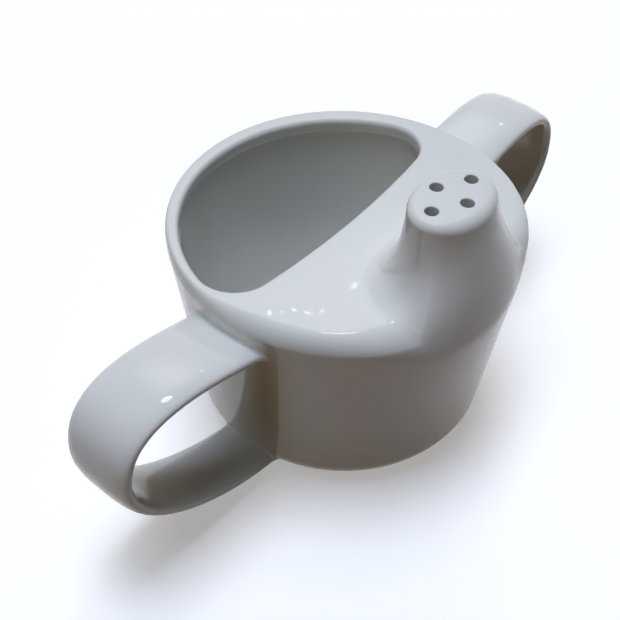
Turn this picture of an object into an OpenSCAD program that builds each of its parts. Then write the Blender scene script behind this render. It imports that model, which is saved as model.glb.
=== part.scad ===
// Invalid feeder: a half-covered ceramic drinking cup with two strap handles and a spout.
// Millimetres. Z is up, the handles lie along X, the spout is on the -Y side, the foot rests on Z = 0.

/* [Cup body] */
// Outer radius of the rim
rim_r = 46; // [42:0.5:52]
// Height of the flat top of the rim above the table
rim_h = 62.5; // [58:0.5:70]
// Thickness of the wall
wall_t = 3.6; // [2.5:0.1:4.5]
// Inward slope of the wall towards the foot, in degrees
wall_taper = 7; // [4:0.5:9]
// Radius of the round heel between the wall and the underside
heel_round = 10; // [8:0.5:12]
// Thickness of the floor
floor_t = 4.5; // [3:0.1:6]
// Height of the foot ring
foot_h = 1.5; // [1:0.1:2.5]
// Width of the foot ring
foot_w = 4; // [3:0.5:6]
// Step from the start of the heel in to the foot ring
foot_inset = 0.7; // [0.3:0.1:2]

/* [Half cover] */
// Thickness of the flat cover
cover_t = 4; // [3.6:0.1:5]
// Radius of the round shoulder between the cover and the wall
shoulder_round = 3.4; // [2:0.1:3.5]
// Width of the rim left round the open half
rim_w = 4; // [3.8:0.1:6]
// Distance from the cup's axis to the middle of the opening's long edge, towards the spout
edge_setback = 1.6; // [-2:0.1:3]
// Radius of the slight bow of the long edge
edge_bow_r = 260; // [200:10:400]
// Radius of the two corners of the opening
corner_r = 10; // [7:0.5:12]
// Rounding of the upper edge of the opening
lip_round = 1.4; // [0.8:0.1:2]

/* [Spout] */
// Height of the end of the spout above the cover
spout_up = 21.5; // [18:0.5:26]
// Distance from the rim's outer edge in to the middle of the spout's end
spout_setback = 16.4; // [15.5:0.1:18]
// Width of the spout's end across the cup
spout_w = 25; // [24:0.5:28]
// Depth of the spout's end, front to back
spout_d = 17; // [16.5:0.5:18]
// Slope of the spout's front, in degrees
front_draft = 11; // [8:0.5:11]
// Slope of the spout's sides, in degrees
side_draft = 9; // [5:0.5:10]
// Slope of the spout's back, in degrees
back_draft = 4; // [2:0.5:8]
// Radius of the hollow curve at the sides and back of the root
root_round = 10; // [7:0.5:11]
// Rounding of the spout's upper edge
spout_round = 2.4; // [1:0.1:3]
// Width of the passage inside the spout
passage_w = 20; // [19.4:0.1:21]
// Depth of the passage inside the spout
passage_d = 13; // [12.6:0.1:13.4]
// Thickness of the pierced end
end_t = 3; // [2:0.1:4]
// Diameter of each drinking hole
hole_d = 3.4; // [2.5:0.1:3.8]
// Spacing of the two holes that lie across the cup
hole_pitch_x = 15.3; // [13:0.1:15.5]
// Spacing of the two holes that lie front to back
hole_pitch_y = 8.8; // [7:0.1:8.8]

/* [Handles] */
// Distance over both handles
handle_span = 177.5; // [170:0.5:190]
// Width of the strap at its upper root
upper_w = 22; // [18:0.5:26]
// Width of the strap at its lower root
lower_w = 17.5; // [14:0.5:22]
// Thickness of the strap
handle_t = 4.6; // [4:0.1:6]
// Depth of the upper root below the rim
upper_drop = 10.1; // [10:0.1:14]
// Rise of the strap from the upper root, in degrees
upper_rise = 14.9; // [5:0.5:20]
// Pull of the curve at the upper root
upper_pull = 19.4; // [12:0.1:24]
// Depth of the outermost point below the rim
outer_drop = 21.8; // [18:0.1:28]
// Pull of the curve above the outermost point
outer_pull_up = 20; // [14:0.1:22]
// Pull of the curve below the outermost point
outer_pull_down = 15.8; // [12:0.1:22]
// Height of the lower root
lower_z = 6.2; // [6:0.1:10]
// Rise of the strap from the lower root, in degrees
lower_rise = 5.9; // [2:0.5:15]
// Pull of the curve at the lower root
lower_pull = 23.3; // [15:0.1:28]
// Extra half width of the strap where it meets the cup
root_flare = 1; // [0:0.1:1.5]

/* [Slip joints] */
// Thickness of the layer of slip in each luted joint
slip_t = 0.6; // [0.4:0.1:1]
// Edge of slip that shows round a root
slip_edge = 0.8; // [0.4:0.1:1.2]

/* [Hidden] */
$fn = 96;
glaze = [0.86, 0.88, 0.9];
slip_colour = [0.8, 0.82, 0.84];
around = 48;        // points round an oval
strap_around = 28;  // points round the strap
strap_rows = 18;    // rows along each half of the strap
arc_steps = 8;      // steps in a rounded edge
flare_rows = 14;    // rows up the spout
flare_edge = 0.4;   // thickness of the flare at its outer edge
strap_power = 2.7;  // 2 is an oval strap, higher is flatter
flare_len = 7;      // length of the strap's flare

seat_z = rim_h - cover_t;
wall_top_z = seat_z - slip_t;
wall_slope = tan(wall_taper);
heel_z = foot_h + heel_round;
heel_r = rim_r - (seat_z - heel_z) * wall_slope - heel_round / cos(wall_taper);
foot_r = heel_r - foot_inset;
floor_z = foot_h + floor_t;
inner_heel = heel_round - 1;
inner_heel_z = floor_z + inner_heel;
opening_r = rim_r - rim_w;
spout_y = -(rim_r - spout_setback);
root_z = rim_h + slip_t;
spout_h = rim_h + spout_up;
spout_rise = spout_h - root_z;
upper_z = rim_h - upper_drop;
outer_z = rim_h - outer_drop;

// Radius of the outside of the straight wall at a height
function wall_r(z) = rim_r - (seat_z - z) * wall_slope;

// Radius of the inside of the straight wall at a height
function inner_r(z) = wall_r(z) - wall_t / cos(wall_taper);

// Radius of the outside of the heel at a height
function heel_outer_r(z) = heel_r + sqrt(pow(heel_round, 2) - pow(heel_z - z, 2));

// Points of an arc about a centre, from one angle to another
function arc(centre, r, from, to, steps = arc_steps) =
    [for (i = [0:steps]) let (a = from + (to - from) * i / steps) centre + r * [cos(a), sin(a)]];

// Points of an oval about a point on the Y axis
function oval(w, d, y) =
    [for (i = [0:around - 1]) let (a = 360 * i / around) [w / 2 * cos(a), y + d / 2 * sin(a)]];

// The same outline at a height
function lift(outline, z) = [for (p = outline) [p[0], p[1], z]];

// A solid through rows of points, with a flat end on the first and last row
module skin(rows) {
    n = len(rows[0]);
    last = (len(rows) - 1) * n;
    sides = [for (i = [0:len(rows) - 2], j = [0:n - 1]) let (k = (j + 1) % n)
        each [[i * n + j, (i + 1) * n + j, (i + 1) * n + k], [i * n + j, (i + 1) * n + k, i * n + k]]];
    ends = [[for (j = [0:n - 1]) j], [for (j = [0:n - 1]) last + n - 1 - j]];
    polyhedron([for (row = rows) each row], concat(sides, ends), convexity = 6);
}

// Outside of the wall and heel as a full solid, thickened by a layer
module cup_outside(layer) {
    top = [wall_r(wall_top_z) + layer / cos(wall_taper), wall_top_z];
    heel = arc([heel_r, heel_z], heel_round + layer, -90, -wall_taper);
    rotate_extrude() polygon(concat([[0, foot_h - layer]], heel, [top, [0, wall_top_z]]));
}

// Inside of the cup as a full solid
module cup_inside() {
    inner_heel_r = inner_r(inner_heel_z) - inner_heel / cos(wall_taper);
    heel = arc([inner_heel_r, inner_heel_z], inner_heel, -90, -wall_taper);
    rotate_extrude() polygon(concat([[0, floor_z]], heel, [[inner_r(rim_h), rim_h], [0, rim_h]]));
}

module cup_body() {
    color(glaze) difference() {
        union() {
            cup_outside(0);
            cylinder(r = foot_r, h = floor_z);
        }
        cup_inside();
        translate([0, 0, -1]) cylinder(r = foot_r - foot_w, h = foot_h + 1);
    }
}

// D-shaped outline of the opening, grown outwards by an amount: the rim's arc, two corners and the long edge
function opening(grow) =
    let (bow_y = edge_bow_r - edge_setback,
         y = (pow(opening_r - corner_r, 2) - pow(edge_bow_r - corner_r, 2) + bow_y * bow_y) / (2 * bow_y),
         x = sqrt(pow(opening_r - corner_r, 2) - y * y),
         rim_a = atan2(y, x), bow_a = atan2(x, bow_y - y), c = corner_r + grow)
    concat(arc([0, 0], opening_r + grow, rim_a, 180 - rim_a, 48), arc([-x, y], c, 180 - rim_a, 270 - bow_a),
           arc([0, bow_y], edge_bow_r + grow, 270 - bow_a, 270 + bow_a),
           arc([x, y], c, 270 + bow_a, 360 + rim_a));

// Solid that cuts the opening, with its upper edge rounded
module opening_cut() {
    lip = [for (i = [0:arc_steps]) let (a = 90 * i / arc_steps)
        lift(opening(lip_round * (1 - cos(a))), rim_h - lip_round * (1 - sin(a)))];
    skin(concat([lift(opening(0), seat_z - 1)], lip, [lift(opening(lip_round), rim_h + 1)]));
}

module passage() {
    translate([0, 0, seat_z - 1]) linear_extrude(spout_h - end_t - seat_z + 1)
        polygon(oval(passage_w, passage_d, spout_y));
}

module half_cover() {
    shoulder = arc([rim_r - shoulder_round, rim_h - shoulder_round], shoulder_round, 0, 90);
    color(glaze) difference() {
        rotate_extrude() polygon(concat([[0, seat_z], [rim_r, seat_z]], shoulder, [[0, rim_h]]));
        opening_cut();
        passage();
    }
}

// Hollow curve at the root: how far it stands out at a height above the cover
function root_curve(h) =
    let (k = root_round - h - flare_edge) k > 0 ? root_round - sqrt(root_round * root_round - k * k) : 0;

// Outline of the spout at a height above the cover, grown by an amount
function spout_outline(h, grow) =
    let (drop = spout_rise - h, curve = root_curve(h) + grow,
         side = spout_w / 2 + drop * tan(side_draft) + curve,
         front = spout_d / 2 + drop * tan(front_draft) + grow,
         back = spout_d / 2 + drop * tan(back_draft) + curve)
    oval(2 * side, front + back, spout_y + (back - front) / 2);

module drinking_hole(x, y) {
    translate([x, spout_y + y, spout_h - end_t - 1]) cylinder(d = hole_d, h = end_t + 2);
}

module spout() {
    side_h = spout_rise - spout_round;
    side = [for (i = [0:flare_rows]) let (h = side_h * pow(i / flare_rows, 2))
        lift(spout_outline(h, 0), root_z + h)];
    edge = [for (i = [1:arc_steps]) let (a = 90 * i / arc_steps, h = side_h + spout_round * sin(a))
        lift(spout_outline(h, spout_round * (cos(a) - 1)), root_z + h)];
    color(glaze) difference() {
        skin(concat(side, edge));
        passage();
        for (s = [-1, 1]) {
            drinking_hole(s * hole_pitch_x / 2, 0);
            drinking_hole(0, s * hole_pitch_y / 2);
        }
    }
}

// Point and direction of a cubic curve
function curve(p, t) = pow(1 - t, 3) * p[0] + 3 * pow(1 - t, 2) * t * p[1] + 3 * (1 - t) * t * t * p[2]
    + pow(t, 3) * p[3];
function curve_run(p, t) =
    let (d = pow(1 - t, 2) * (p[1] - p[0]) + 2 * (1 - t) * t * (p[2] - p[1]) + t * t * (p[3] - p[2]))
    d / norm(d);

// One cross-section of the strap at a point of its path, with its width, thickened by an amount
function strap_row(p, run, w, grow) = [for (i = [0:strap_around - 1])
    let (a = 360 * i / strap_around, k = 2 / strap_power,
         across = (w / 2 + grow) * sign(cos(a)) * pow(abs(cos(a)), k),
         out = (handle_t / 2 + grow) * sign(sin(a)) * pow(abs(sin(a)), k))
    [p[0] - run[1] * out, across, p[1] + run[0] * out]];

// Width of the strap at a share of its path, from the upper root to the lower
function strap_w(share) = upper_w + (lower_w - upper_w) * share;

// Thickening of the strap near its roots
function flare_at(gap) = gap < flare_len ? root_flare * pow(1 - gap / flare_len, 2) : 0;

// Strap handle on the +X side, cut to sit on the slip
module strap_handle() {
    upper = [wall_r(upper_z), upper_z];
    lower = [heel_outer_r(lower_z), lower_z];
    outer = [(handle_span - handle_t) / 2, outer_z];
    upper_run = [cos(upper_rise), sin(upper_rise)];
    lower_run = [cos(lower_rise), sin(lower_rise)];
    top = [upper, upper + upper_pull * upper_run, outer + [0, outer_pull_up], outer];
    low = [outer, outer - [0, outer_pull_down], lower + lower_pull * lower_run, lower];
    top_rows = [for (i = [0:strap_rows - 1]) let (t = i / strap_rows, p = curve(top, t))
        strap_row(p, curve_run(top, t), strap_w(t / 2), flare_at(norm(p - upper)))];
    low_rows = [for (i = [0:strap_rows]) let (t = i / strap_rows, p = curve(low, t))
        strap_row(p, curve_run(low, t), strap_w((1 + t) / 2), flare_at(norm(p - lower)))];
    first = strap_row(upper - 5 * upper_run, upper_run, upper_w, root_flare);
    final = strap_row(lower - 6 * lower_run, -lower_run, lower_w, root_flare);
    difference() {
        skin(concat([first], top_rows, low_rows, [final]));
        cup_outside(slip_t);
    }
}

module right_handle() {
    color(glaze) strap_handle();
}

module left_handle() {
    color(glaze) mirror([1, 0, 0]) strap_handle();
}

// Pad of slip between the cup and a root of the strap on the +X side
module root_slip(z, root_w) {
    margin = root_flare + slip_edge;
    w = root_w / 2 + margin;
    h = handle_t / 2 + margin;
    r = h - 0.5;
    corners = concat(arc([h - r, w - r], r, 0, 90), arc([r - h, w - r], r, 90, 180),
                     arc([r - h, r - w], r, 180, 270), arc([h - r, r - w], r, 270, 360));
    color(slip_colour) intersection() {
        difference() {
            cup_outside(slip_t);
            cup_outside(0);
        }
        translate([heel_r + 2, 0, z]) rotate([0, 90, 0]) linear_extrude(rim_r) polygon(corners);
    }
}

module right_upper_slip() {
    root_slip(upper_z, upper_w);
}

module right_lower_slip() {
    root_slip(lower_z, lower_w);
}

module left_upper_slip() {
    mirror([1, 0, 0]) root_slip(upper_z, upper_w);
}

module left_lower_slip() {
    mirror([1, 0, 0]) root_slip(lower_z, lower_w);
}

module cover_slip() {
    color(slip_colour) rotate_extrude()
        polygon([[inner_r(wall_top_z), wall_top_z], [wall_r(wall_top_z), wall_top_z],
                 [wall_r(seat_z), seat_z], [inner_r(seat_z), seat_z]]);
}

module spout_slip() {
    color(slip_colour) translate([0, 0, rim_h]) linear_extrude(slip_t) difference() {
        polygon(spout_outline(0, slip_edge / 2));
        polygon(oval(passage_w, passage_d, spout_y));
    }
}

cup_body();
half_cover();
spout();
left_handle();
right_handle();
cover_slip();
spout_slip();
left_upper_slip();
left_lower_slip();
right_upper_slip();
right_lower_slip();
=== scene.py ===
# Invalid feeder: a half-covered porcelain drinking cup with two strap handles and a spout.
# Shapes are worked out in millimetres, in the frame of the CAD model, and become metres in the mesh.
# Lamps, the stage and the scales of textures are in metres.
import math

import bmesh
import bpy
from mathutils import Matrix, Vector


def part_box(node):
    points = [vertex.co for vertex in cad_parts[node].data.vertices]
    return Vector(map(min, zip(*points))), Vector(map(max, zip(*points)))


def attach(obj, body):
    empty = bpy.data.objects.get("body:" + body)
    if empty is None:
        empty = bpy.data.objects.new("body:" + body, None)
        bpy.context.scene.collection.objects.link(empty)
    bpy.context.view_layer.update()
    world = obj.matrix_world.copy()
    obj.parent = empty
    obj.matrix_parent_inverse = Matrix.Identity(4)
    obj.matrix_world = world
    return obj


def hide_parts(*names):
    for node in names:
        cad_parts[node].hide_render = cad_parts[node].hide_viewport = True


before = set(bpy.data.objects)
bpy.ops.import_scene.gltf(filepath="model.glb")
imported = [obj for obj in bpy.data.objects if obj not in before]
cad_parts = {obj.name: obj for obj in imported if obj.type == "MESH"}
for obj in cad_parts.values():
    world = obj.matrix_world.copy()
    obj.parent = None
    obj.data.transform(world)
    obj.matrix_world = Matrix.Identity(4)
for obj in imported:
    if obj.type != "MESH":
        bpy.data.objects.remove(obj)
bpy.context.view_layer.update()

MM = 0.001


def cad_box_mm(node):
    """Lowest and highest corner of a CAD node in millimetres."""
    return [Vector(corner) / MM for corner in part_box(node)]


# Sizes read from the frame; the photographed rim is a little wider
RIM_GROW = 0.3
cover_low, cover_high = cad_box_mm("half_cover")
RIM_R = cover_high.x + RIM_GROW
RIM_Z = cover_high.z
SEAT_Z = cover_low.z
WALL_TOP_Z = cad_box_mm("cup_body")[1].z
SPOUT_Z = cad_box_mm("spout")[1].z
HANDLE_X = cad_box_mm("right_handle")[1].x

# Cup body: thickness and taper of its wall, rounding of its heel outside and inside, thickness of its floor
WALL = 3.6
WALL_TAPER = math.radians(7.5)
HEEL_ROUND = 10
INNER_HEEL = 12
CUP_FLOOR = 4.5

# Foot ring, with the share of its rounded edge that is bare of glaze
FOOT_H = 1.5
FOOT_W = 4
FOOT_INSET = 0.7
FOOT_EDGE = 0.6
BARE_SHARE = 0.3

# Shoulder of the cover: its width and height on the rim, at the hood's left and before the spout
RIM_SHOULDER = (1.1, 1.7)
LEFT_SHOULDER = (4.2, 5.5)
FRONT_SHOULDER = (9, 12)

# Degrees off straight ahead where the left and the front shoulder begin, and where they are full
LEFT_ARC = (104, 76)
FRONT_ARC = (60, 18)

# The front shoulder's height fades as this power of its width's fade
HEIGHT_FADE = 3

# Height on the wall that is below every shoulder
SHOULDER_FOOT_Z = 48

# Opening: rim beside it, long edge's place before the cup's axis and its bow, corners, and the photographed
# cup's turn in degrees and shift
RIM_W = 4
EDGE_AHEAD = 1.3
EDGE_BOW_R = 260
CORNER_R = 10
OPENING_TURN = 2.4
OPENING_SHIFT = Vector((-1.2, -0.6))

# Rounding of the opening's lip, across and down, and of the edge under it
LIP = (1.2, 1.6)
UNDER_LIP = 0.7

# Spout: its middle back from the rim, and half the width and depth of its end
SPOUT_SETBACK = 16.1
SPOUT_HALF = (12.8, 9.3)

# By side of the spout: rounding of its edge, draft of its wall in degrees, reach of its flare, and how far
# down the wall runs on before it flares, as a share of its height
ROUND = {"left": 2, "right": 2.2, "front": 3, "back": 1.5}
DRAFT = {"left": 4, "right": 13, "front": 8, "back": 3}
REACH = {"left": 12, "right": 12, "front": 14, "back": 7}
STRAIGHT = {"left": 0.55, "right": 0.5, "front": 0.3, "back": 0.6}

# The flare stops this far inside the rim, and a power blends the two limits of its reach
REACH_EDGE = 0.4
LIMIT_POWER = 8

# Foot of the flare: its pull, as a share of the reach on a level top and of the height on a steep one, and
# the step that finds the slope there
FLARE_PULL = 0.78
FLARE_RISE = 0.45
FLARE_STEP = 0.05

# Share of the flare that is the spout's own, the rest being slip, and the slip's height in the passage
SPOUT_SHARE = 0.9
SLIP_H = 0.4

# Passage through the spout, thickness of its end, and the drinking holes in it
PASSAGE_HALF = (10, 6.5)
END_T = 3
HOLE_R = 1.65
HOLE_EDGE = 0.3
HOLE_PITCH = (15.6, 8.7)
HOLE_SHIFT = (0.4, 0.8)

# Handles: heights of the strap's roots and outer end, its slopes at the roots, and the pulls of its curve
UPPER_DROP = 10.1
OUTER_DROP = {"left": 20.7, "right": 23.6}
LOWER_Z = 6.2
UPPER_RISE = math.radians(14.9)
LOWER_RISE = math.radians(5.9)
UPPER_PULL = 19.4
OUTER_PULL_UP = {"left": 20, "right": 22.5}
OUTER_PULL_DOWN = 15.8
LOWER_PULL = 23.3

# Section of the strap, a flattened oval
STRAP_T = 4.6
UPPER_W = 22
LOWER_W = 17.5
STRAP_POWER = 2.6

# Fillet at a root: its size, the pull of its curve, how deep it ends in the wall, and its room over the foot
ROOT_FILLET = 1.4
FILLET_PULL = 0.72
ROOT_SUNK = 1
ROOT_CLEAR = 0.6

# Length of path per share of it at a root, as a multiple of the curve's pull: a cubic starts at 3 times its
# pull, and the path has two of them
RUN_PER_PULL = 6

# Longest way from the strap's end to the wall, and how often it is halved to find the wall
SEARCH_REACH = 12
SEARCH_STEPS = 40

# Mesh fineness: points round a ring, rows of a surface and steps of a rounding
AROUND_CUP = 192
AROUND_SPOUT = 192
AROUND_HOLE = 32
AROUND_STRAP = 48
SHOULDER_ROWS = 18
SHOULDER_FOOT_ROWS = 9
FLARE_ROWS = 80
STRAP_ROWS = 36
FOOT_STEPS = 5
HEEL_STEPS = 24
RIM_STEPS = 96
CORNER_STEPS = 24
BOW_STEPS = 48
LIP_STEPS = 12
UNDER_LIP_STEPS = 6
SPOUT_EDGE_STEPS = 12
HOLE_EDGE_STEPS = 8
FILLET_STEPS = 10

# Heights of the rings on the straight wall, width of the outer ring of the foot's recess, and radius of the
# ring at the middle of the cup's floor
OUTER_RINGS_Z = (20, 30, 40)
INNER_RINGS_Z = (50, 40, 30)
RECESS_RING = 2
FLOOR_RING_R = 10

# Narrow rings beside an edge that keep its shading crisp; the spout's is a share of its end
WALL_GUARD = 0.3
FLAT_GUARD = 0.2
HOLE_GUARD = 0.1
END_GUARD = 0.985

# Points closer than this are one, and edges sharper than this stay sharp
MERGE_GAP = 0.002
SHARP_ANGLE = math.radians(38)

# Colours of the glaze as it lies, drawn thin on edges and pooled in hollows, of its specks, and of bare clay
GLAZE_COLOUR = (0.8, 0.8, 0.755)
THIN_COLOUR = (0.81, 0.79, 0.72)
POOLED_COLOUR = (0.755, 0.77, 0.745)
SPECK_COLOUR = (0.34, 0.3, 0.25)
CLAY_COLOUR = (0.72, 0.69, 0.63)
CLAY_GRAIN_COLOUR = (0.58, 0.54, 0.47)

# Noises: waves per metre, detail and, where it isn't a half, roughness
CLOUD_NOISE = (38, 3)
WAVE_NOISE = (60, 2)
GLOSS_NOISE = (90, 4)
PEEL_NOISE = (420, 2)
SPECK_NOISE = (900, 1, 0.3)
GRAIN_NOISE = (1500, 5, 0.7)

# Ranges of a noise over which its effect grows
CLOUD_RANGE = (0.35, 0.65)
GLOSS_RANGE = (0.3, 0.7)
SPECK_RANGE = (0.8, 0.83)
GRAIN_RANGE = (0.35, 0.7)
GRAIN_GLOSS_RANGE = (0.3, 0.7)

# Bend of the surface, in radians per millimetre, over which glaze thins on edges and pools in hollows
EDGE_BEND = (-0.1, -0.7)
HOLLOW_BEND = (0.05, 0.5)

# Most that each effect tints the glaze
CLOUD_TINT = 0.55
BEND_TINT = 0.8
SPECK_TINT = 0.2

# Gloss, and the strength and depth in metres of each bump
GLAZE_IOR = 1.52
GLAZE_ROUGHNESS = (0.01, 0.04)
CLAY_ROUGHNESS = (0.75, 0.95)
WAVE_BUMP = (0.06, 0.0006)
PEEL_BUMP = (0.03, 0.00012)
GRAIN_BUMP = (0.5, 0.0001)

# Name of the mesh attribute that holds the bend
POOL = "pool"

# Light of the room: each soft light has a direction, a core and an edge angle in degrees, and a colour
SOFT_LIGHTS = (
    ((0.03, 0.08, 1), 6, 16, (9.9, 10.7, 12.9)),
    ((-0.34, 0.1, 0.94), 6, 16, (2.4, 3.0, 3.8)),
    ((0.62, 0.38, 0.68), 8, 20, (1.2, 1.0, 0.7)),
    ((-0.97, 0, 0.24), 8, 20, (0.5, 0.28, 0.12)),
)
ROOM = (0.005, 0.004, 0.003)
DARK = (0.0, 0.0, 0.0)
WHITE = (1.0, 1.0, 1.0)

# Floor under the cup: half its side, its colour and glow as seen, and the colour of the light it gives back
STAGE_HALF = 6
STAGE_COLOUR = (0.9, 0.9, 0.9)
STAGE_GLOW = 0.36
STAGE_BOUNCE = (0.16, 0.092, 0.03)
STAGE_ROUGHNESS = 0.9

# Every lamp's distance from the point that it faces
LAMP_DISTANCE = 1.5

# Round panel behind the cup that lays a sheen on the level surfaces; its middle, and the distances from there
# over which it fades, are shares of its width
PANEL_TOWARD = (0.49, 0.44, 0.755)
PANEL_SIZE = 0.9
PANEL_WATTS = 3.0
PANEL_MIDDLE = (0.5, 0.5, 0)
PANEL_FADE = (0.1, 0.5)

# Rows of oval lamps that leave glints: the point they face, the direction from there, the row's length, its
# number of lamps, a lamp's width and height, and its watts
SPOT_ROWS = (
    ((-37, -14, 62.5), (0.537, 0.4665, 0.704), 0.085, 5, (0.009, 0.004), 0.0006),
    ((-17, -21, 62.5), (0.593, 0.425, 0.684), 0.05, 3, (0.009, 0.004), 0.001),
    ((-71, -8, 58), (0.33, 0.2, 0.92), 0, 1, (0.26, 0.2), 1.1),
    ((63, -5, 58), (0.63, 0.32, 0.71), 0, 1, (0.05, 0.03), 0.03),
)

# Camera, found from the photograph's own perspective; only its nearest visible distance is in metres
CAMERA_AT = Vector((-173.06, -132.84, 242.76))
CAMERA_RIGHT = Vector((0.65163, -0.75842, 0.01362))
CAMERA_UP = Vector((0.52624, 0.46493, 0.71198))
CAMERA_LENS = 64.44
CAMERA_SENSOR = 36
CAMERA_NEAR = 0.01

# Derived sizes
WALL_SLOPE = math.tan(WALL_TAPER)
HEEL_Z = FOOT_H + HEEL_ROUND
HEEL_R = RIM_R - (SEAT_Z - HEEL_Z) * WALL_SLOPE - HEEL_ROUND / math.cos(WALL_TAPER)
FOOT_R = HEEL_R - FOOT_INSET
CUP_FLOOR_Z = FOOT_H + CUP_FLOOR
OPENING_R = RIM_R - RIM_W
SPOUT_Y = -(RIM_R - SPOUT_SETBACK)
UPPER_Z = RIM_Z - UPPER_DROP


# Numbers and curves
def mix(a, b, t):
    """Value at a share of the way from one to another."""
    return a + (b - a) * t


def ease(value, start, end):
    """Smooth step from 0 at the start to 1 at the end."""
    t = min(max((value - start) / (end - start), 0), 1)
    return t * t * (3 - 2 * t)


def shares(count):
    """Even shares from 0 to 1, both included."""
    return [i / count for i in range(count + 1)]


def turns(count):
    """Angles of evenly spaced points round a circle."""
    return [2 * math.pi * i / count for i in range(count)]


def bezier(points, t):
    """Point of a cubic curve."""
    a, b, c, d = points
    return a * (1 - t) ** 3 + b * 3 * t * (1 - t) ** 2 + c * 3 * t * t * (1 - t) + d * t ** 3


def bezier_run(points, t):
    """Direction of a cubic curve."""
    a, b, c, d = points
    run = (b - a) * (1 - t) ** 2 + (c - b) * 2 * t * (1 - t) + (d - c) * t * t
    return run.normalized()


def arc(centre, radii, start, end, steps, closed_end=True):
    """Points of an arc with a radius for each axis and angles in degrees, with or without its last point."""
    angles = [math.radians(mix(start, end, share)) for share in shares(steps)]
    points = [(centre[0] + radii[0] * math.cos(a), centre[1] + radii[1] * math.sin(a)) for a in angles]
    return points if closed_end else points[:-1]


def oval(centre, radii, count):
    """Closed outline of a circle or an oval."""
    return arc(centre, radii, 0, 360, count, closed_end=False)


def lift(outline, z):
    """Outline in plan, raised to a height."""
    return [(x, y, z) for x, y in outline]


def level_ring(r, z):
    """Round ring about the cup's axis at one height."""
    return lift(oval((0, 0), (r, r), AROUND_CUP), z)


def rings_through(columns):
    """Rings through columns of points that stand side by side."""
    return [list(ring) for ring in zip(*columns)]


# Meshes
def neighbours(items):
    """Each item of a closed loop with the next one."""
    return zip(items, items[1:] + items[:1])


def skin(bm, loops):
    """Surface through closed loops that have equal numbers of points."""
    rings = [[bm.verts.new(p) for p in loop] for loop in loops]
    for low, high in zip(rings, rings[1:]):
        for (a, b), (d, c) in zip(neighbours(low), neighbours(high)):
            bm.faces.new((a, b, c, d))


def cap(bm, loop, centre):
    """Fan that closes a loop at a centre point."""
    hub = bm.verts.new(centre)
    rim = [bm.verts.new(p) for p in loop]
    for a, b in neighbours(rim):
        bm.faces.new((hub, a, b))


def plate(bm, outlines, z):
    """Flat face inside the first outline, with the other outlines as its holes."""
    edges = []
    for outline in outlines:
        corners = [bm.verts.new(p) for p in lift(outline, z)]
        edges += [bm.edges.new(pair) for pair in neighbours(corners)]
    bmesh.ops.triangle_fill(bm, use_beauty=True, edges=edges)


def closed_skin(loops):
    """Solid through loops, closed by a fan at each end."""
    bm = bmesh.new()
    skin(bm, loops)
    for loop in (loops[0], loops[-1]):
        cap(bm, loop, sum(loop, Vector()) / len(loop))
    return bm


def pool_values(bm):
    """How hollow the surface is at each vertex: above 0 where glaze pools, below 0 on edges it draws off."""
    values = {}
    for vert in bm.verts:
        if all(edge.calc_face_angle(0) < SHARP_ANGLE for edge in vert.link_edges):
            steps = [edge.other_vert(vert).co - vert.co for edge in vert.link_edges]
            bends = [2 * step.dot(vert.normal) / step.length_squared for step in steps]
            values[vert] = sum(bends) / len(bends)
    for vert in bm.verts:
        if vert not in values:
            near = [values.get(edge.other_vert(vert), 0) for edge in vert.link_edges]
            values[vert] = max(near, key=abs)
    return [values[vert] for vert in bm.verts]


def new_mesh(name, bm):
    """Mesh of a finished bmesh, which is freed."""
    mesh = bpy.data.meshes.new(name)
    bm.to_mesh(mesh)
    bm.free()
    return mesh


def add_object(name, data):
    """New object in the scene."""
    added = bpy.data.objects.new(name, data)
    bpy.context.scene.collection.objects.link(added)
    return added


def make_piece(name, bm, nodes, materials):
    """Closed, smooth mesh object that stands for CAD nodes and rides on the cup."""
    bmesh.ops.remove_doubles(bm, verts=bm.verts, dist=MERGE_GAP)
    bmesh.ops.recalc_face_normals(bm, faces=bm.faces)
    bm.normal_update()
    pools = pool_values(bm)
    bmesh.ops.scale(bm, vec=(MM, MM, MM), verts=bm.verts)
    mesh = new_mesh(name, bm)
    mesh.attributes.new(POOL, "FLOAT", "POINT").data.foreach_set("value", pools)
    mesh.shade_smooth()
    mesh.set_sharp_from_angle(angle=SHARP_ANGLE)
    for material in materials:
        mesh.materials.append(material)
    piece = add_object(name, mesh)
    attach(piece, "root")
    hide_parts(*nodes)
    return piece


# Shader nodes; a Mix node's colours are at these inputs and this output
MIX_INPUTS = (6, 7)
MIX_OUTPUT = 2


def new_material(name):
    """Material with a Principled shader; returns it with its node tree and shader."""
    material = bpy.data.materials.new(name)
    material.use_nodes = True
    tree = material.node_tree
    return material, tree, tree.nodes["Principled BSDF"]


def noise(tree, scale, detail, roughness=0.5):
    """Noise over the object's own coordinates."""
    where = tree.nodes.new("ShaderNodeTexCoord")
    node = tree.nodes.new("ShaderNodeTexNoise")
    node.inputs["Scale"].default_value = scale
    node.inputs["Detail"].default_value = detail
    node.inputs["Roughness"].default_value = roughness
    tree.links.new(where.outputs["Object"], node.inputs["Vector"])
    return node.outputs["Fac"]


def remap(tree, value, source, target):
    """Value carried over from one range to another, and held at its ends."""
    node = tree.nodes.new("ShaderNodeMapRange")
    sockets = ("From Min", "From Max", "To Min", "To Max")
    for socket, number in zip(sockets, (*source, *target)):
        node.inputs[socket].default_value = number
    tree.links.new(value, node.inputs["Value"])
    return node.outputs["Result"]


def blend_colour(tree, factor, first, second):
    """Mix of two colours, each a tuple or a socket."""
    node = tree.nodes.new("ShaderNodeMix")
    node.data_type = "RGBA"
    tree.links.new(factor, node.inputs["Factor"])
    for index, colour in zip(MIX_INPUTS, (first, second)):
        if isinstance(colour, tuple):
            node.inputs[index].default_value = (*colour, 1)
        else:
            tree.links.new(colour, node.inputs[index])
    return node.outputs[MIX_OUTPUT]


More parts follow.
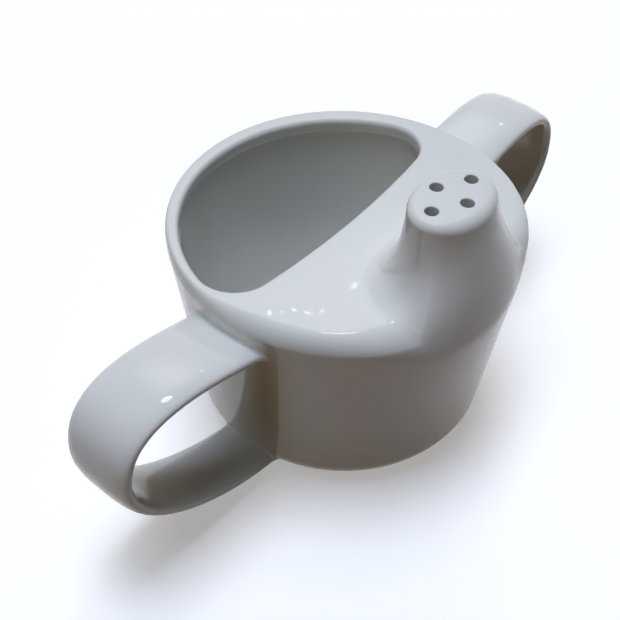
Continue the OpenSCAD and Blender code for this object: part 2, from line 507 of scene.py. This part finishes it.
def vector_math(tree, operation, value, other):
    """Vector Math node on a socket and either another socket or a fixed vector."""
    node = tree.nodes.new("ShaderNodeVectorMath")
    node.operation = operation
    tree.links.new(value, node.inputs[0])
    if isinstance(other, bpy.types.NodeSocket):
        tree.links.new(other, node.inputs[1])
    else:
        node.inputs[1].default_value = other
    return node


def bump(tree, height, strength, distance, below=None):
    """Normal bent by a height, on top of another bump where one is given."""
    node = tree.nodes.new("ShaderNodeBump")
    node.inputs["Strength"].default_value = strength
    node.inputs["Distance"].default_value = distance
    tree.links.new(height, node.inputs["Height"])
    if below is not None:
        tree.links.new(below, node.inputs["Normal"])
    return node.outputs["Normal"]


def is_seen(tree):
    """1 for camera, glossy and transmission rays, 0 for the rest."""
    path = tree.nodes.new("ShaderNodeLightPath")
    total = path.outputs["Is Camera Ray"]
    for ray in ("Is Glossy Ray", "Is Transmission Ray"):
        node = tree.nodes.new("ShaderNodeMath")
        node.operation = "MAXIMUM"
        tree.links.new(total, node.inputs[0])
        tree.links.new(path.outputs[ray], node.inputs[1])
        total = node.outputs[0]
    return total


# Materials
def glaze_material(name):
    """Clear gloss glaze over white clay: uneven, thin on edges, pooled in hollows, with a few specks."""
    material, tree, shader = new_material(name)
    pool = tree.nodes.new("ShaderNodeAttribute")
    pool.attribute_name = POOL
    bend = pool.outputs["Fac"]
    cloud = remap(tree, noise(tree, *CLOUD_NOISE), CLOUD_RANGE, (0, CLOUD_TINT))
    thin = remap(tree, bend, EDGE_BEND, (0, BEND_TINT))
    pooled = remap(tree, bend, HOLLOW_BEND, (0, BEND_TINT))
    speck = remap(tree, noise(tree, *SPECK_NOISE), SPECK_RANGE, (0, SPECK_TINT))
    colour = blend_colour(tree, cloud, GLAZE_COLOUR, POOLED_COLOUR)
    for share, tint in ((thin, THIN_COLOUR), (pooled, POOLED_COLOUR), (speck, SPECK_COLOUR)):
        colour = blend_colour(tree, share, colour, tint)
    tree.links.new(colour, shader.inputs["Base Color"])
    gloss = remap(tree, noise(tree, *GLOSS_NOISE), GLOSS_RANGE, GLAZE_ROUGHNESS)
    tree.links.new(gloss, shader.inputs["Roughness"])
    shader.inputs["IOR"].default_value = GLAZE_IOR
    waves = bump(tree, noise(tree, *WAVE_NOISE), *WAVE_BUMP)
    peel = bump(tree, noise(tree, *PEEL_NOISE), *PEEL_BUMP, waves)
    tree.links.new(peel, shader.inputs["Normal"])
    return material


def biscuit_material(name):
    """Bare fired clay of the foot, ground flat where the glaze was wiped off."""
    material, tree, shader = new_material(name)
    grain = noise(tree, *GRAIN_NOISE)
    colour = blend_colour(tree, remap(tree, grain, GRAIN_RANGE, (0, 1)), CLAY_COLOUR, CLAY_GRAIN_COLOUR)
    tree.links.new(colour, shader.inputs["Base Color"])
    gloss = remap(tree, grain, GRAIN_GLOSS_RANGE, CLAY_ROUGHNESS)
    tree.links.new(gloss, shader.inputs["Roughness"])
    tree.links.new(bump(tree, grain, *GRAIN_BUMP), shader.inputs["Normal"])
    return material


glaze = glaze_material("glazed_porcelain")
slip_glaze = glaze_material("glazed_slip")
biscuit = biscuit_material("bare_foot")


# Wall and shoulder
def wall_r(z):
    """Radius of the outside of the straight wall at a height."""
    return RIM_R - (SEAT_Z - z) * WALL_SLOPE


def inner_r(z):
    """Radius of the inside of the straight wall at a height."""
    return wall_r(z) - WALL / math.cos(WALL_TAPER)


def outside_r(z):
    """Radius of the cup's outside at a height, on the wall or on the round heel."""
    depth = HEEL_Z - z
    if depth < HEEL_ROUND * math.sin(WALL_TAPER):
        return wall_r(z)
    return HEEL_R + math.sqrt(max(HEEL_ROUND ** 2 - depth ** 2, 0))


def shoulder_size(angle):
    """Width and height of the shoulder: tight on the rim, soft at the hood's left, full before the spout."""
    # Degrees off straight ahead, which is at 270 degrees; the left is below 0
    off = (math.degrees(angle) + 270) % 360 - 180
    left = ease(-off, *LEFT_ARC) if off <= 0 else 0
    front = ease(abs(off), *FRONT_ARC)
    wide, tall = [mix(tight, soft, left) for tight, soft in zip(RIM_SHOULDER, LEFT_SHOULDER)]
    full_wide, full_tall = FRONT_SHOULDER
    return mix(wide, full_wide, front), mix(tall, full_tall, front ** HEIGHT_FADE)


def shoulder_ring(z):
    """Ring round the outside of the cup at one height, on the wall or on the shoulder."""
    loop = []
    for angle in turns(AROUND_CUP):
        wide, tall = shoulder_size(angle)
        rise = max(1 - (RIM_Z - z) / tall, 0)
        r = wall_r(z) - wide * (1 - math.sqrt(1 - rise * rise))
        loop.append((r * math.cos(angle), r * math.sin(angle), z))
    return loop


def shoulder_loop(share, inset=0):
    """Ring of the cover's rounding, at a share of the way from its seat to the flat top."""
    loop = []
    for angle in turns(AROUND_CUP):
        wide, tall = shoulder_size(angle)
        turn = mix(math.asin(max(1 - (RIM_Z - SEAT_Z) / tall, 0)), math.pi / 2, share)
        r = RIM_R - inset - wide * (1 - math.cos(turn))
        loop.append((r * math.cos(angle), r * math.sin(angle), RIM_Z - tall * (1 - math.sin(turn))))
    return loop


# Cup body
def outer_profile():
    """Radius and height along the cup's outside, from the recess in the foot up to the shoulder's foot."""
    lean = -math.degrees(WALL_TAPER)
    foot_in = FOOT_R - FOOT_W
    edge = (FOOT_EDGE, FOOT_EDGE)
    profile = [(foot_in - RECESS_RING, FOOT_H)]
    profile += arc((foot_in - FOOT_EDGE, FOOT_H - FOOT_EDGE), edge, 90, 0, FOOT_STEPS)
    profile += arc((foot_in + FOOT_EDGE, FOOT_EDGE), edge, 180, 270, FOOT_STEPS)
    profile += arc((FOOT_R - FOOT_EDGE, FOOT_EDGE), edge, 270, 360, FOOT_STEPS)
    profile += arc((HEEL_R, HEEL_Z), (HEEL_ROUND, HEEL_ROUND), -90, lean, HEEL_STEPS)
    return profile + [(wall_r(z), z) for z in OUTER_RINGS_Z]


def inner_profile():
    """Radius and height along the cup's inside, from the wall's top down to the floor."""
    lean = -math.degrees(WALL_TAPER)
    heel_z = CUP_FLOOR_Z + INNER_HEEL
    heel_r = inner_r(heel_z) - INNER_HEEL / math.cos(WALL_TAPER)
    heights = (WALL_TOP_Z, WALL_TOP_Z - WALL_GUARD, *INNER_RINGS_Z)
    profile = [(inner_r(z), z) for z in heights]
    profile += arc((heel_r, heel_z), (INNER_HEEL, INNER_HEEL), lean, -90, HEEL_STEPS)
    return profile + [(FLOOR_RING_R, CUP_FLOOR_Z)]


def make_cup_body():
    """Wall, heel, floor and foot ring, turned as one profile, with the shoulder's foot at the top."""
    loops = [level_ring(r, z) for r, z in outer_profile()]
    loops += [shoulder_ring(mix(SHOULDER_FOOT_Z, WALL_TOP_Z, share)) for share in shares(SHOULDER_FOOT_ROWS)]
    loops += [level_ring(r, z) for r, z in inner_profile()]
    bm = bmesh.new()
    skin(bm, loops)
    cap(bm, loops[0], (0, 0, FOOT_H))
    cap(bm, loops[-1], (0, 0, CUP_FLOOR_Z))
    finishes = [glaze, biscuit]
    piece = make_piece("cup_body_shell", bm, ["cup_body"], finishes)
    bare_below = FOOT_EDGE * BARE_SHARE * MM
    for face in piece.data.polygons:
        if face.center.z < bare_below:
            face.material_index = finishes.index(biscuit)


def make_cover_slip():
    """Thin ring of slip between the wall and the cover, fettled flush."""
    bm = bmesh.new()
    loops = [shoulder_ring(WALL_TOP_Z), shoulder_ring(SEAT_Z)]
    loops += [level_ring(inner_r(z), z) for z in (SEAT_Z, WALL_TOP_Z)]
    skin(bm, loops + loops[:1])
    make_piece("cover_slip_ring", bm, ["cover_slip"], [slip_glaze])


# Half cover
def opening_outline(grow):
    """D-shaped outline of the opening: the rim's arc, two corners and the slightly bowed long edge."""
    bow_y = EDGE_BOW_R - EDGE_AHEAD
    inner = OPENING_R - CORNER_R
    y = (inner ** 2 - (EDGE_BOW_R - CORNER_R) ** 2 + bow_y ** 2) / (2 * bow_y)
    x = math.sqrt(inner ** 2 - y ** 2)
    rim_a = math.degrees(math.atan2(y, x))
    bow_a = math.degrees(math.atan2(x, bow_y - y))
    rim = [OPENING_R + grow] * 2
    corner = [CORNER_R + grow] * 2
    bow = [EDGE_BOW_R + grow] * 2
    outline = arc((0, 0), rim, rim_a, 180 - rim_a, RIM_STEPS, closed_end=False)
    outline += arc((-x, y), corner, 180 - rim_a, 270 - bow_a, CORNER_STEPS, closed_end=False)
    outline += arc((0, bow_y), bow, 270 - bow_a, 270 + bow_a, BOW_STEPS, closed_end=False)
    outline += arc((x, y), corner, 270 + bow_a, 360 + rim_a, CORNER_STEPS, closed_end=False)
    turn = Matrix.Rotation(math.radians(OPENING_TURN), 2)
    return [tuple(turn @ Vector(p) + OPENING_SHIFT) for p in outline]


def passage_outline():
    """Oval outline of the passage from the cup into the spout."""
    return oval((0, SPOUT_Y), PASSAGE_HALF, AROUND_SPOUT)


def make_half_cover():
    """Rim ring and hood in one flat top, with a soft shoulder, a rounded lip and the spout's passage."""
    bm = bmesh.new()
    seat = shoulder_ring(SEAT_Z)
    shoulder = [shoulder_loop(share) for share in shares(SHOULDER_ROWS)]
    flat = shoulder_loop(1, FLAT_GUARD)
    skin(bm, [seat] + shoulder + [flat])
    lip = [(LIP[0] + FLAT_GUARD, RIM_Z)]
    lip += arc((LIP[0], RIM_Z - LIP[1]), LIP, 90, 180, LIP_STEPS)
    lip += arc((UNDER_LIP, SEAT_Z + UNDER_LIP), (UNDER_LIP, UNDER_LIP), 180, 270, UNDER_LIP_STEPS)
    lip += [(UNDER_LIP + FLAT_GUARD, SEAT_Z)]
    skin(bm, [lift(opening_outline(grow), z) for grow, z in lip])
    passage = passage_outline()
    for ring, (grow, z) in ((flat, lip[0]), (seat, lip[-1])):
        plate(bm, [[p[:2] for p in ring], opening_outline(grow), passage], z)
    skin(bm, [lift(passage, RIM_Z), lift(passage, SEAT_Z)])
    make_piece("half_cover_shell", bm, ["half_cover"], [glaze])


# Spout
def by_side(angle, values):
    """Value at an angle round the spout, eased from each side to the front and the back."""
    side = values["left"] if math.cos(angle) < 0 else values["right"]
    end = values["front"] if math.sin(angle) < 0 else values["back"]
    return mix(side, end, math.sin(angle) ** 2)


def soft_limit(value, limit):
    """The smaller of two lengths, blended where they are close."""
    return (value ** -LIMIT_POWER + limit ** -LIMIT_POWER) ** (-1 / LIMIT_POWER)


def cover_top(place):
    """Point on the cover's flat top, or on the shoulder round it, over a place in plan."""
    wide, tall = shoulder_size(math.atan2(place.y, place.x))
    share = max((place.length - RIM_R + wide) / wide, 0)
    z = RIM_Z - tall * (1 - math.sqrt(1 - share * share))
    at = place - place.normalized() * max(SEAT_Z - z, 0) * WALL_SLOPE
    return Vector((at.x, at.y, z))


def spout_edge(tip, out, draft, r):
    """Points down the rounded edge of the spout's end, from level to the draft of its wall."""
    centre = tip - out * r
    points = []
    for share in shares(SPOUT_EDGE_STEPS):
        turn = mix(math.pi / 2, draft, share)
        at = centre + out * r * math.cos(turn)
        points.append(Vector((at.x, at.y, SPOUT_Z - r * (1 - math.sin(turn)))))
    return points


def spout_rows(angle):
    """Points down the outside of the spout at one angle: the rounded edge, then the flare onto the cover."""
    a, b = SPOUT_HALF
    tip = Vector((a * math.cos(angle), SPOUT_Y + b * math.sin(angle)))
    out = Vector((math.cos(angle) / a, math.sin(angle) / b)).normalized()
    draft = math.radians(by_side(angle, DRAFT))
    edge = spout_edge(tip, out, draft, by_side(angle, ROUND))
    along = tip.dot(out)
    to_rim = -along + math.sqrt(along ** 2 - tip.length_squared + (RIM_R - REACH_EDGE) ** 2)
    reach = soft_limit(by_side(angle, REACH), to_rim)
    end = cover_top(tip + out * reach)
    run = (cover_top(tip + out * (reach + FLARE_STEP)) - end).normalized()
    down = Vector((out.x * math.sin(draft), out.y * math.sin(draft), -math.cos(draft)))
    height = edge[-1].z - end.z
    pull = mix(reach * FLARE_PULL, height * FLARE_RISE, -run.z)
    curve = (edge[-1], edge[-1] + down * height * by_side(angle, STRAIGHT), end - run * pull, end)
    return edge + [bezier(curve, share) for share in shares(FLARE_ROWS)[1:]]


def spout_loops():
    """Rings round the spout from its end down to the cover."""
    return rings_through([spout_rows(angle) for angle in turns(AROUND_SPOUT)])


def hole_centres():
    """Middles of the drinking holes: right, left, back and front."""
    x = HOLE_SHIFT[0]
    y = SPOUT_Y + HOLE_SHIFT[1]
    across = HOLE_PITCH[0] / 2
    deep = HOLE_PITCH[1] / 2
    return [(x + across, y), (x - across, y), (x, y + deep), (x, y - deep)]


def hole_outline(centre, r):
    """Outline of a drinking hole."""
    return oval(centre, (r, r), AROUND_HOLE)


def make_spout(loops):
    """Hollow oval spout with its pierced end."""
    bm = bmesh.new()
    passage = passage_outline()
    under_z = SPOUT_Z - END_T
    middle = Vector((0, SPOUT_Y))
    guard = [tuple(mix(middle, p.to_2d(), END_GUARD)) for p in loops[0]]
    inside = [lift(passage, RIM_Z + SLIP_H), lift(passage, under_z)]
    skin(bm, [lift(guard, SPOUT_Z)] + loops + inside)
    rounding = arc((HOLE_EDGE, SPOUT_Z - HOLE_EDGE), (HOLE_EDGE, HOLE_EDGE), 90, 180, HOLE_EDGE_STEPS)
    hole = [(HOLE_R + HOLE_EDGE + HOLE_GUARD, SPOUT_Z)]
    hole += [(HOLE_R + r, z) for r, z in rounding]
    hole += [(HOLE_R, under_z)]
    for centre in hole_centres():
        skin(bm, [lift(hole_outline(centre, r), z) for r, z in hole])
    for outline, (r, z) in ((guard, hole[0]), (passage, hole[-1])):
        plate(bm, [outline] + [hole_outline(centre, r) for centre in hole_centres()], z)
    make_piece("spout_shell", bm, ["spout"], [glaze])


def make_spout_slip(loops):
    """Feathered ring of slip that blends the spout into the cover."""
    bm = bmesh.new()
    passage = passage_outline()
    skin(bm, loops + [lift(passage, RIM_Z), lift(passage, RIM_Z + SLIP_H), loops[0]])
    make_piece("spout_slip_ring", bm, ["spout_slip"], [slip_glaze])


# Handles, shaped on the +X side and mirrored for the left
def strap_path(name):
    """The two halves of the strap's middle line, in X and Z, from the upper root to the lower."""
    upper = Vector((wall_r(UPPER_Z), UPPER_Z))
    lower = Vector((outside_r(LOWER_Z), LOWER_Z))
    outer = Vector((HANDLE_X - STRAP_T / 2, RIM_Z - OUTER_DROP[name]))
    up = Vector((0, 1))
    upper_run = Vector((math.cos(UPPER_RISE), math.sin(UPPER_RISE)))
    lower_run = Vector((math.cos(LOWER_RISE), math.sin(LOWER_RISE)))
    top = (upper, upper + upper_run * UPPER_PULL, outer + up * OUTER_PULL_UP[name], outer)
    low = (outer, outer - up * OUTER_PULL_DOWN, lower + lower_run * LOWER_PULL, lower)
    return top, low


def strap_line(name, share):
    """Point and direction of the strap's middle line, in X and Z, at a share of its path."""
    top, low = strap_path(name)
    half, t = (top, share * 2) if share < 0.5 else (low, share * 2 - 1)
    return bezier(half, t), bezier_run(half, t)


def flattened(value):
    """Cosine or sine on the strap's flattened oval, from the one on a circle."""
    return math.copysign(abs(value) ** (2 / STRAP_POWER), value)


def strap_outline(name, share):
    """Outline of the strap, square to its path, at a share of the path."""
    at, run = strap_line(name, share)
    width = mix(UPPER_W, LOWER_W, share)
    outline = []
    for angle in turns(AROUND_STRAP):
        across = width / 2 * flattened(math.cos(angle))
        out = STRAP_T / 2 * flattened(math.sin(angle))
        outline.append(Vector((at.x - run.y * out, across, at.y + run.x * out)))
    return outline


def on_wall(y, z):
    """Point on the cup's outside, on the +X side."""
    return Vector((math.sqrt(outside_r(z) ** 2 - y * y), y, z))


def meet_wall(start, run):
    """Where a line from a point on the strap reaches the cup's outside, found by halving."""
    near = 0
    far = SEARCH_REACH
    for _ in range(SEARCH_STEPS):
        between = (near + far) / 2
        p = start + run * between
        if math.hypot(p.x, p.y) > outside_r(p.z):
            near = between
        else:
            far = between
    return start + run * near


def root_loops(name, share, inward):
    """Rings of the fillet of slip between an end of the strap and the wall."""
    at, run = strap_line(name, share)
    to_wall = Vector((run.x, 0, run.y)) * inward
    columns = []
    for p in strap_outline(name, share):
        meet = meet_wall(p, to_wall)
        away = Vector((p.y, p.z - at.y)).normalized() * ROOT_FILLET
        end = on_wall(meet.y + away.x, max(meet.z + away.y, FOOT_H + ROOT_CLEAR))
        curve = (p, mix(p, meet, FILLET_PULL), mix(end, meet, FILLET_PULL), end)
        sunk = end - Vector((ROOT_SUNK, 0, 0))
        columns.append([bezier(curve, step) for step in shares(FILLET_STEPS)] + [sunk])
    return rings_through(columns)


def mirrored(loops, side):
    """Loops as they are for side 1, or mirrored across X = 0 for side -1."""
    return [[Vector((p.x * side, p.y, p.z)) for p in loop] for loop in loops]


def make_handle(name, side):
    """Strap handle and the two fillets of slip at its roots."""
    first = ROOT_FILLET / UPPER_PULL / RUN_PER_PULL
    last = 1 - ROOT_FILLET / LOWER_PULL / RUN_PER_PULL
    strap = [strap_outline(name, mix(first, last, share)) for share in shares(STRAP_ROWS)]
    bm = closed_skin(mirrored(strap, side))
    make_piece(name + "_strap", bm, [name + "_handle"], [glaze])
    for root, share, inward in (("upper", first, -1), ("lower", last, 1)):
        bm = closed_skin(mirrored(root_loops(name, share, inward), side))
        slip = name + "_" + root + "_slip"
        make_piece(slip + "_fillet", bm, [slip], [slip_glaze])


# Stage, light and camera
def make_floor():
    """Plain pale floor that bounces little light back up at the cup."""
    bm = bmesh.new()
    bmesh.ops.create_grid(bm, x_segments=1, y_segments=1, size=STAGE_HALF)
    mesh = new_mesh("floor", bm)
    material, tree, shader = new_material("floor")
    seen = is_seen(tree)
    colour = blend_colour(tree, seen, STAGE_BOUNCE, STAGE_COLOUR)
    tree.links.new(colour, shader.inputs["Base Color"])
    glow = remap(tree, seen, (0, 1), (0, STAGE_GLOW))
    tree.links.new(glow, shader.inputs["Emission Strength"])
    shader.inputs["Emission Color"].default_value = (*WHITE, 1)
    shader.inputs["Roughness"].default_value = STAGE_ROUGHNESS
    shader.inputs["Specular IOR Level"].default_value = 0
    mesh.materials.append(material)
    floor = add_object("floor", mesh)


def soft_light(tree, axis, core, edge, colour):
    """Round light in the sky, full inside its core angle and fading out to its edge angle."""
    where = tree.nodes.new("ShaderNodeTexCoord")
    toward = vector_math(tree, "DOT_PRODUCT", where.outputs["Generated"], Vector(axis).normalized())
    reach = [math.cos(math.radians(angle)) for angle in (edge, core)]
    share = remap(tree, toward.outputs["Value"], reach, (0, 1))
    return blend_colour(tree, share, DARK, colour)


def make_world():
    """White to the eye; as light, a few soft lights in a dim warm room."""
    world = bpy.data.worlds.new("studio")
    world.use_nodes = True
    tree = world.node_tree
    total = ROOM
    for light in SOFT_LIGHTS:
        total = vector_math(tree, "ADD", soft_light(tree, *light), total).outputs["Vector"]
    colour = blend_colour(tree, is_seen(tree), total, WHITE)
    tree.links.new(colour, tree.nodes["Background"].inputs["Color"])
    bpy.context.scene.world = world


def make_lamp(name, point, direction, size, watts, aside=0):
    """Oval lamp that faces a point from a direction, moved aside along its own width."""
    light = bpy.data.lights.new(name, "AREA")
    light.shape = "ELLIPSE"
    light.size, light.size_y = size
    light.energy = watts
    lamp = add_object(name, light)
    turn = Vector(direction).normalized().to_track_quat("Z", "Y")
    lamp.location = Vector(point) * MM + turn @ Vector((aside, 0, LAMP_DISTANCE))
    lamp.rotation_euler = turn.to_euler()
    return light


def make_panel():
    """Round lamp behind the cup that fades towards its edge."""
    light = make_lamp("panel", (0, 0, RIM_Z), PANEL_TOWARD, (PANEL_SIZE, PANEL_SIZE), PANEL_WATTS)
    light.use_nodes = True
    tree = light.node_tree
    place = tree.nodes.new("ShaderNodeNewGeometry")
    off = vector_math(tree, "DISTANCE", place.outputs["Parametric"], PANEL_MIDDLE)
    fade = remap(tree, off.outputs["Value"], PANEL_FADE, (1, 0))
    tree.links.new(fade, tree.nodes["Emission"].inputs["Strength"])


def make_spots():
    """Lamps above the cup that leave the glints in the glaze."""
    for row, (point, direction, length, count, size, watts) in enumerate(SPOT_ROWS):
        for i in range(count):
            aside = length * (i / (count - 1) - 0.5) if count > 1 else 0
            make_lamp("spot_%d_%d" % (row, i), point, direction, size, watts, aside)


def make_camera():
    """Camera at the photograph's place, with its own roll and lens."""
    data = bpy.data.cameras.new("camera")
    data.lens = CAMERA_LENS
    data.sensor_width = CAMERA_SENSOR
    data.clip_start = CAMERA_NEAR
    camera = add_object("camera", data)
    back = CAMERA_RIGHT.cross(CAMERA_UP)
    turn = Matrix((CAMERA_RIGHT, CAMERA_UP, back)).transposed()
    camera.matrix_world = Matrix.Translation(CAMERA_AT * MM) @ turn.to_4x4()
    bpy.context.scene.camera = camera


make_cup_body()
make_cover_slip()
make_half_cover()

# The spout and its slip share the ring where they meet
spout_rings = spout_loops()
split_row = SPOUT_EDGE_STEPS + int(FLARE_ROWS * SPOUT_SHARE)
make_spout(spout_rings[:split_row + 1])
make_spout_slip(spout_rings[split_row:])

make_handle("left", -1)
make_handle("right", 1)

make_floor()
make_world()
make_panel()
make_spots()
make_camera()
bpy.context.scene.view_settings.view_transform = "Standard"
